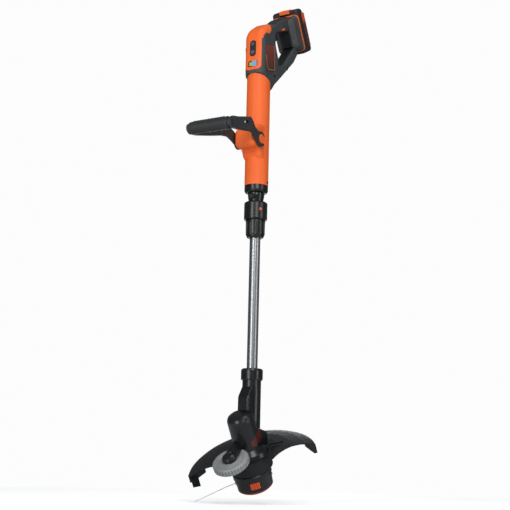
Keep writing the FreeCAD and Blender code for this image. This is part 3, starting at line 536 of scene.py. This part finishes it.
# %% Plastics
orange_abs = moulded("polished_orange_abs", "f8702e", "f4682a", 0.52, 3.0, 0.01, IOR=1.5,
                     Specular_IOR_Level=0.35)
handle_nylon = moulded("glass_filled_grey_nylon", "424648", "383b3e", 0.55, 2.0, 0.05, IOR=1.5)
bail_nylon = moulded("glass_filled_dark_nylon", "303438", "262a2d", 0.50, 2.0, 0.05, IOR=1.5)
head_nylon = moulded("glossy_black_nylon", "111517", "0a0d0f", 0.30, 8.0, 0.006, 30.0, 0.03, IOR=1.5)
guard_plastic = moulded("scuffed_polypropylene", "1f2325", "15181a", 0.5, 4.0, 0.02, IOR=1.49,
                        Specular_IOR_Level=0.3)
battery_abs = moulded("textured_black_abs", "1f2123", "17191a", 0.48, 2.2, 0.04, IOR=1.5)
button_rubber = moulded("soft_touch_elastomer", "1c1e20", "161719", 0.62, 2.4, 0.05, IOR=1.5)
mark_rubber = moulded("grey_elastomer_mark", "5c5a6b", "4a4956", 0.55, 2.4, 0.03, IOR=1.5)
slider_abs = moulded("pale_blue_acetal", "9dbbe0", "86a8d4", 0.32, 3.0, 0.02, IOR=1.48)
scale_abs = moulded("green_scale_abs", "a9d45c", "98c64e", 0.4, 3.0, 0.02, IOR=1.5)
wheel_nylon = moulded("weathered_grey_nylon", "999c9d", "787b7c", 0.45, 3.0, 0.15, 5.0, 0.12, IOR=1.53)
inner_nylon = moulded("natural_acetal", "c9c8c0", "bcbab2", 0.45, 3.0, 0.04, IOR=1.48)
red_abs = moulded("dark_red_abs", "8a1d1b", "6e1514", 0.34, 3.0, 0.02, IOR=1.53)
tab_abs = moulded("ribbed_orange_abs", "f76a2c", "ee5a1f", 0.45, 3.0, 0.01, IOR=1.5)
rim_abs = moulded("signal_red_abs", "d0301c", "b52716", 0.34, 3.0, 0.02, IOR=1.53)
print("plastics:", len(bpy.data.materials))

# %% [markdown]
# ## Painted shade on the grip
# A dark strip of painted shade runs along the middle of the rear grip's grey nylon shells. It stands in for
# the shade that falls inside the handle's loop. It is part of the same CAD solids, so a mask in the material
# draws it.
# The mask is one within the strip's half width and behind its front end, and each edge fades over a short
# distance, because a hard step would look jagged.

# %% Painted shade on the grip
shade_strip_edge, shade_strip_fade, shade_strip_front, shade_front_fade = 0.0148, 0.0006, -0.040, 0.0025
surface = handle_nylon.node_tree.nodes["Principled BSDF"]
shell_ramp = surface.inputs["Base Color"].links[0].from_node
where = put(handle_nylon, "TexCoord")
place = put(handle_nylon, "SeparateXYZ", Vector=(where, "Object"))
off_middle = put(handle_nylon, "Math", [("operation", "ABSOLUTE")], n0=(place, "Y"))
in_middle = put(handle_nylon, "MapRange", [("From Min", shade_strip_edge), ("From Max", shade_strip_edge - shade_strip_fade)],
                Value=(off_middle, "Value"))
behind = put(handle_nylon, "MapRange", [("From Min", shade_strip_front), ("From Max", shade_strip_front - shade_front_fade)],
             Value=(place, "X"))
painted_shade_mask = put(handle_nylon, "Math", [("operation", "MULTIPLY")], n0=(in_middle, "Result"),
                n1=(behind, "Result"))
# The colour 16191c is painted shade: a dark strip where the inside of the handle's loop falls into shade.
painted_shade_mix = put(handle_nylon, "Mix", [("data_type", "RGBA"), (7, linear("16191c"))],
               n0=(painted_shade_mask, "Value"), n6=(shell_ramp, "Color"))
handle_nylon.node_tree.links.new(painted_shade_mix.outputs[2], surface.inputs["Base Color"])
print("painted_shade_mask", round(2 * shade_strip_edge / MM, 1), "mm wide")

# %% [markdown]
# ## Ribbed inserts and tabs
# The head's side inserts and the spool cap's two tabs have rows of straight finger ribs. They are shallow and
# only a few millimetres apart, so a sine wave across them paints shade into the grooves between them. The
# darker tone stands in for the shade that falls in real grooves. Modelled grooves would cost far more faces
# for the same look.

# %% Ribbed finishes


def ribbed(material, axis, pitch_mm, groove_shade):
    """Paints a darker tone of shade into straight grooves across a moulded finish, square to axis."""
    surface = material.node_tree.nodes["Principled BSDF"]
    plain_ramp = surface.inputs["Base Color"].links[0].from_node
    where = put(material, "TexCoord")
    along = put(material, "VectorMath", [("operation", "DOT_PRODUCT"), (1, axis)], n0=(where, "Object"))
    turns = put(material, "Math", [("operation", "MULTIPLY"), (1, 2 * pi / (pitch_mm * MM))],
                n0=(along, "Value"))
    wave = put(material, "Math", [("operation", "SINE")], n0=(turns, "Value"))
    raised = put(material, "MapRange", [("From Min", -0.1), ("From Max", 0.5)], Value=(wave, "Value"))
    both = put(material, "Mix", [("data_type", "RGBA"), (6, linear(groove_shade))],
               n0=(raised, "Result"), n7=(plain_ramp, "Color"))
    material.node_tree.links.new(both.outputs[2], surface.inputs["Base Color"])


insert_across = (0.35, 0, 0.94)
tab_rib_turn = radians(32)
tab_across = head_turn.to_3x3() @ Vector((-sin(tab_rib_turn), cos(tab_rib_turn), 0))
# The groove colours 1c0706 and a8330f are painted shade in the grooves between the ribs.
ribbed(red_abs, insert_across, 5.0, "1c0706")
ribbed(tab_abs, tab_across, 4.4, "a8330f")
print("ribbed finishes:", red_abs.name, "and", tab_abs.name)

# %% [markdown]
# ## Drawn aluminium tube
# The lower tube is drawn through a die and clear anodised, so its only marks run along it. A noise that is
# stretched a hundred times along Z gives those die lines, to the tone and the roughness as well as the bump.
# Real die lines are finer than the 1.2 mm used here, which is as fine as a whole view can show.

# %% Tube metal
tube_metal, surface = finish_named("drawn_anodised_aluminium", Metallic=1.0)
where = put(tube_metal, "TexCoord")
stretch = put(tube_metal, "Mapping", [("Scale", (1.0, 1.0, 0.01))], Vector=(where, "Object"))
die_lines = put(tube_metal, "TexNoise", [("Scale", 1 / (1.2 * MM)), ("Detail", 4.0)],
                Vector=(stretch, "Vector"))
tones(tube_metal, surface, die_lines, "Fac", 0.3, 0.7, linear("8a8c8f"), linear("9b9da0"))
tones(tube_metal, surface, die_lines, "Fac", 0.3, 0.7, grey(0.30), grey(0.38), "Roughness")
bump = put(tube_metal, "Bump", [("Strength", 0.2), ("Distance", 0.01 * MM)], Height=(die_lines, "Fac"))
tube_metal.node_tree.links.new(bump.outputs["Normal"], surface.inputs["Normal"])
print("tube metal:", len(tube_metal.node_tree.nodes), "nodes")

# %% [markdown]
# ## Steel, bronze and rubber
# Pins, springs and eyelets are zinc-plated steel, the blade and the housing's screws are blackened steel, and
# the bush is oil-filled bronze. The bail's sleeve and the lead are rubber, and the cells wear a shrunk film.
# Metals keep the shader's own index of refraction, and their patterns only vary tone and gloss.

# %% Other metals


def metal(name, colour, deep, rough_low, rough_high, patch_mm):
    """A metal with cloudy tone and gloss."""
    material, surface = finish_named(name, Metallic=1.0)
    where = put(material, "TexCoord")
    cloud = put(material, "TexNoise", [("Scale", 1 / (patch_mm * MM)), ("Detail", 5.0)],
                Vector=(where, "Object"))
    tones(material, surface, cloud, "Fac", 0.3, 0.7, linear(deep), linear(colour))
    tones(material, surface, cloud, "Fac", 0.25, 0.75, grey(rough_low), grey(rough_high), "Roughness")
    return material


zinc_steel = metal("zinc_plated_steel", "b9bcc0", "9da1a6", 0.22, 0.4, 3.0)
black_steel = metal("black_oxide_steel", "2c2d2f", "1e1f21", 0.3, 0.5, 3.0)
bronze = metal("sintered_bronze", "b98b4e", "95693a", 0.4, 0.6, 1.5)

# %% Rubbers and cell film
grip_rubber = moulded("moulded_epdm_rubber", "2a2d2f", "1f2123", 0.52, 2.0, 0.03, IOR=1.5)
lead_rubber = moulded("black_lead_jacket", "1d1e20", "17181a", 0.5, 3.0, 0.04, IOR=1.52)
cell_film = moulded("blue_cell_film", "2d5fae", "244f96", 0.25, 5.0, 0.03, IOR=1.5)
print("materials so far:", len(bpy.data.materials))

# %% [markdown]
# ## Printed label
# The side label is a polyester film, printed with a brick-red field that darkens towards its lower edge. A
# map of its height gives that fade, with a little noise, as a printed screen has. The thin frame round the
# field is a paler ink.

# %% Label film and ink
label_film, surface = finish_named("printed_label_film", IOR=1.5, Roughness=0.3)
where = put(label_film, "TexCoord")
parts = put(label_film, "SeparateXYZ", Vector=(where, "Object"))
low_edge, high_edge = (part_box("side_labels")[i].z for i in (0, 1))
height = put(label_film, "MapRange", [("From Min", low_edge), ("From Max", high_edge)], Value=(parts, "Z"))
print_grain = put(label_film, "TexNoise", [("Scale", 1 / (4 * MM)), ("Detail", 3.0)],
                  Vector=(where, "Object"))
field = put(label_film, "Math", [("operation", "MULTIPLY_ADD"), (1, 0.25)], n0=(print_grain, "Fac"),
            n2=(height, "Result"))
tones(label_film, surface, field, "Value", 0.1, 0.9, linear("4a2418"), linear("7a3424"))
frame_ink = moulded("pale_printed_ink", "a98272", "957060", 0.35, 3.0, 0.01, IOR=1.5)
print("label from", round(low_edge / MM), "to", round(high_edge / MM), "mm up the handle")

# %% [markdown]
# ## Clear nylon line
# The cutting line is extruded nylon with no dye. Light passes into it and scatters, so it looks milky white,
# and a little subsurface light gives that without the cost of real transparency.

# %% Line nylon
line_nylon, surface = finish_named("clear_nylon_line", IOR=1.53, Roughness=0.3)
where = put(line_nylon, "TexCoord")
milky = put(line_nylon, "TexNoise", [("Scale", 1 / (3 * MM)), ("Detail", 2.0)], Vector=(where, "Object"))
tones(line_nylon, surface, milky, "Fac", 0.3, 0.7, linear("c0c6c9"), linear("d6dadc"))
surface.inputs["Subsurface Weight"].default_value = 0.3
surface.inputs["Subsurface Radius"].default_value = (0.002, 0.002, 0.002)
trimmer_line.data.materials.append(line_nylon)
print("line finish:", line_nylon.name)

# %% [markdown]
# ## Two-tone band
# The battery's bands are orange near the top and a dark brown-red below, with a short fade between them. The
# fade follows the battery's own leaning axis: a dot product with that axis gives how far along the band a
# point lies.

# %% Band finish
banded_abs, surface = finish_named("two_tone_band_abs", IOR=1.5, Roughness=0.4)
where = put(banded_abs, "TexCoord")
foot_up = foot_frame.to_3x3() @ Vector((0, 0, 1))
foot_zero = foot_frame.translation.dot(foot_up)
along = put(banded_abs, "VectorMath", [("operation", "DOT_PRODUCT"), (1, foot_up)], n0=(where, "Object"))
share = put(banded_abs, "MapRange", [("From Min", foot_zero + band_low), ("From Max", foot_zero + band_high)],
            Value=(along, "Value"))
tones(banded_abs, surface, share, "Result", 0.66, 0.82, linear("5a2d28"), linear("dd5a26"))
print("band finish:", banded_abs.name)

# %% [markdown]
# ## Studio floor
# The floor is rolled matt paint. It glows a little to the camera only, so that it meets the near-white world
# without an edge and yet throws no extra light on the trimmer.

# %% Floor paint
floor_paint, surface = finish_named("matt_studio_paint", Roughness=0.9)
where = put(floor_paint, "TexCoord")
roll = put(floor_paint, "TexNoise", [("Scale", 3.0)], Vector=(where, "Object"))
tones(floor_paint, surface, roll, "Fac", 0.3, 0.7, linear("f2f3f4"), linear("f7f7f8"))
surface.inputs["Emission Color"].default_value = (0.5, 0.5, 0.5, 1)
seen = put(floor_paint, "LightPath")
floor_paint.node_tree.links.new(seen.outputs["Is Camera Ray"], surface.inputs["Emission Strength"])
studio_floor.data.materials.append(floor_paint)
print("materials in all:", len(bpy.data.materials))

# %% [markdown]
# ## Which node gets which finish
# One table gives each CAD node its finish, and a second loop does the same for the pieces modelled here. Both
# follow what each part is made of, and the record's slots name the same families.

# %% Finish table
finishes = {
    orange_abs: ["upper_housing_left", "upper_housing_right", "front_panel", "foot_trim", "battery_latch",
                 "aux_lock_button", "lock_off_button"],
    tab_abs: ["cap_tab_front", "cap_tab_rear"],
    handle_nylon: ["handle_shell_left", "handle_shell_right"],
    bail_nylon: ["aux_handle_frame"],
    head_nylon: ["head_housing_left", "head_housing_right", "motor_cover", "head_cap_ring", "wheel_arm",
                 "spool_housing", "spool_cap", "clamp_nut", "clamp_body", "neck_sleeve", "housing_end_cap"],
    guard_plastic: ["guard"],
    battery_abs: ["battery_cover", "battery_case"],
    button_rubber: ["feed_button", "trigger", "swivel_button"],
    slider_abs: ["speed_slider"],
    label_film: ["side_labels"],
    red_abs: ["side_inserts"],
    tube_metal: ["lower_tube"],
    grip_rubber: ["aux_grip"],
    wheel_nylon: ["edge_wheel"],
    inner_nylon: ["swivel_bush", "guide_tube", "clamp_collet", "terminal_block", "trigger_switch", "spool",
                  "control_board"],
    lead_rubber: ["coiled_lead"],
    zinc_steel: ["battery_screws", "aux_pivot_bolt", "wheel_axle", "line_eyelets", "trigger_spring",
                 "spool_spring", "spindle", "motor_can", "motor_rotor", "gear_plate"],
    black_steel: ["line_cutter", "handle_screws", "head_screws"],
    bronze: ["spindle_bush"],
    cell_film: ["battery_cells"],
    line_nylon: ["line_winding", "cutting_line"],
}
finish_of = {node: material for material, names in finishes.items() for node in names}
for node, material in finish_of.items():
    nodes[node].data.materials.clear()
    nodes[node].data.materials.append(material)
print("finished nodes:", len(finish_of), "of", len(nodes))

# %% Finishes of the new pieces
new_finishes = (("bail_sleeve", grip_rubber), ("rail_mouth_strip", orange_abs), ("speed_scale", scale_abs),
                ("cap_rim", rim_abs), ("clamp_pointer", orange_abs), ("battery_band", banded_abs),
                ("button_mark", mark_rubber), ("label_frame", frame_ink))
for name, material in new_finishes:
    for piece in [o for o in bpy.data.objects if o.name.startswith(name)]:
        piece.data.materials.append(material)
        print(piece.name, "is", material.name)
